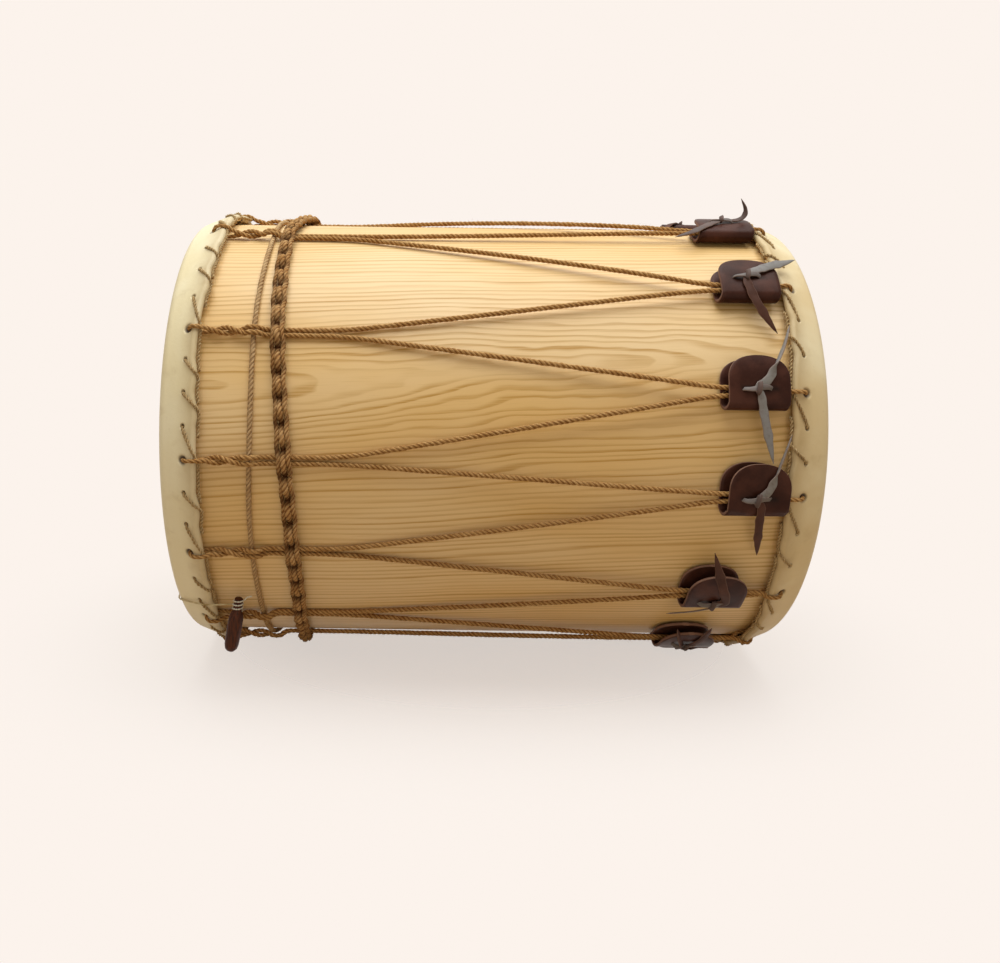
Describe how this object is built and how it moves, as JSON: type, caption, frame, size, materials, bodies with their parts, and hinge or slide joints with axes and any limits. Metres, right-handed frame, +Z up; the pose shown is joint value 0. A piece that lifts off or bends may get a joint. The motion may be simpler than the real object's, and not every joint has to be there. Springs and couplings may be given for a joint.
{
  "type": "tabor",
  "caption": "Rope-tensioned cylindrical drum on its side, with two laced skin heads, sliding leather tugs, a carrying plait and a snare toggle.",
  "frame": {"origin": "on the surface that the drum lies on, under the middle of its box", "axes": "+X along the drum's axis from the snare head to the other head, -Y towards the viewer, +Z up"},
  "size_m": [0.4154, 0.3332, 0.3293],
  "materials": {
    "shell_wood": "satin varnish over open grain",
    "rawhide": "scraped rawhide",
    "hoop_wire": "plain wire",
    "jute": "twisted fibre",
    "twine": "thin twisted fibre",
    "tug_leather": "oiled smooth leather",
    "thong_leather": "cut leather lace",
    "gut": "dried gut",
    "toggle_wood": "dark polished wood"
  },
  "bodies": {
    "drum": {"shell": "shell_wood", "head_left": "rawhide", "head_right": "rawhide", "hoop_left": "hoop_wire", "hoop_right": "hoop_wire", "lacing_left": "twine", "lacing_right": "twine", "tension_rope": "jute", "rope_knot": "jute", "ring_rope": "jute", "carrying_plait": "jute", "snare_gut": "gut"},
    "toggle": {"snare_toggle": "toggle_wood", "toggle_whipping": "twine"},
    "tug_01": {"tug_01": "tug_leather", "thong_01": "thong_leather"},
    "tug_02": {"tug_02": "tug_leather", "thong_02": "thong_leather"},
    "tug_03": {"tug_03": "tug_leather", "thong_03": "thong_leather"},
    "tug_04": {"tug_04": "tug_leather", "thong_04": "thong_leather"},
    "tug_05": {"tug_05": "tug_leather", "thong_05": "thong_leather"},
    "tug_06": {"tug_06": "tug_leather", "thong_06": "thong_leather"},
    "tug_07": {"tug_07": "tug_leather", "thong_07": "thong_leather"},
    "tug_08": {"tug_08": "tug_leather", "thong_08": "thong_leather"},
    "tug_09": {"tug_09": "tug_leather", "thong_09": "thong_leather"},
    "tug_10": {"tug_10": "tug_leather", "thong_10": "thong_leather"},
    "tug_11": {"tug_11": "tug_leather", "thong_11": "thong_leather"},
    "tug_12": {"tug_12": "tug_leather", "thong_12": "thong_leather"},
    "tug_13": {"tug_13": "tug_leather", "thong_13": "thong_leather"}
  },
  "joints": [
    {"name": "toggle_swing", "type": "hinge", "parent": "drum", "child": "toggle", "pos_m": [-0.1638, -0.13205, 0.06931], "axis": [1, 0, 0], "range_deg": [-60, 20]},
    {"name": "tug_01_slide", "type": "slide", "parent": "drum", "child": "tug_01", "axis": [1, 0, 0], "range_m": [-0.009, 0]},
    {"name": "tug_02_slide", "type": "slide", "parent": "drum", "child": "tug_02", "axis": [1, 0, 0], "range_m": [-0.012, 0]},
    {"name": "tug_03_slide", "type": "slide", "parent": "drum", "child": "tug_03", "axis": [1, 0, 0], "range_m": [-0.0155, 0]},
    {"name": "tug_04_slide", "type": "slide", "parent": "drum", "child": "tug_04", "axis": [1, 0, 0], "range_m": [-0.016, 0]},
    {"name": "tug_05_slide", "type": "slide", "parent": "drum", "child": "tug_05", "axis": [1, 0, 0], "range_m": [-0.01, 0.014]},
    {"name": "tug_06_slide", "type": "slide", "parent": "drum", "child": "tug_06", "axis": [1, 0, 0], "range_m": [-0.006, 0.018]},
    {"name": "tug_07_slide", "type": "slide", "parent": "drum", "child": "tug_07", "axis": [1, 0, 0], "range_m": [-0.0185, 0.002]},
    {"name": "tug_08_slide", "type": "slide", "parent": "drum", "child": "tug_08", "axis": [1, 0, 0], "range_m": [-0.016, 0.005]},
    {"name": "tug_09_slide", "type": "slide", "parent": "drum", "child": "tug_09", "axis": [1, 0, 0], "range_m": [-0.016, 0]},
    {"name": "tug_10_slide", "type": "slide", "parent": "drum", "child": "tug_10", "axis": [1, 0, 0], "range_m": [-0.0155, 0.008]},
    {"name": "tug_11_slide", "type": "slide", "parent": "drum", "child": "tug_11", "axis": [1, 0, 0], "range_m": [-0.016, 0.003]},
    {"name": "tug_12_slide", "type": "slide", "parent": "drum", "child": "tug_12", "axis": [1, 0, 0], "range_m": [-0.0155, 0.006]},
    {"name": "tug_13_slide", "type": "slide", "parent": "drum", "child": "tug_13", "axis": [1, 0, 0], "range_m": [-0.016, 0]}
  ]
}
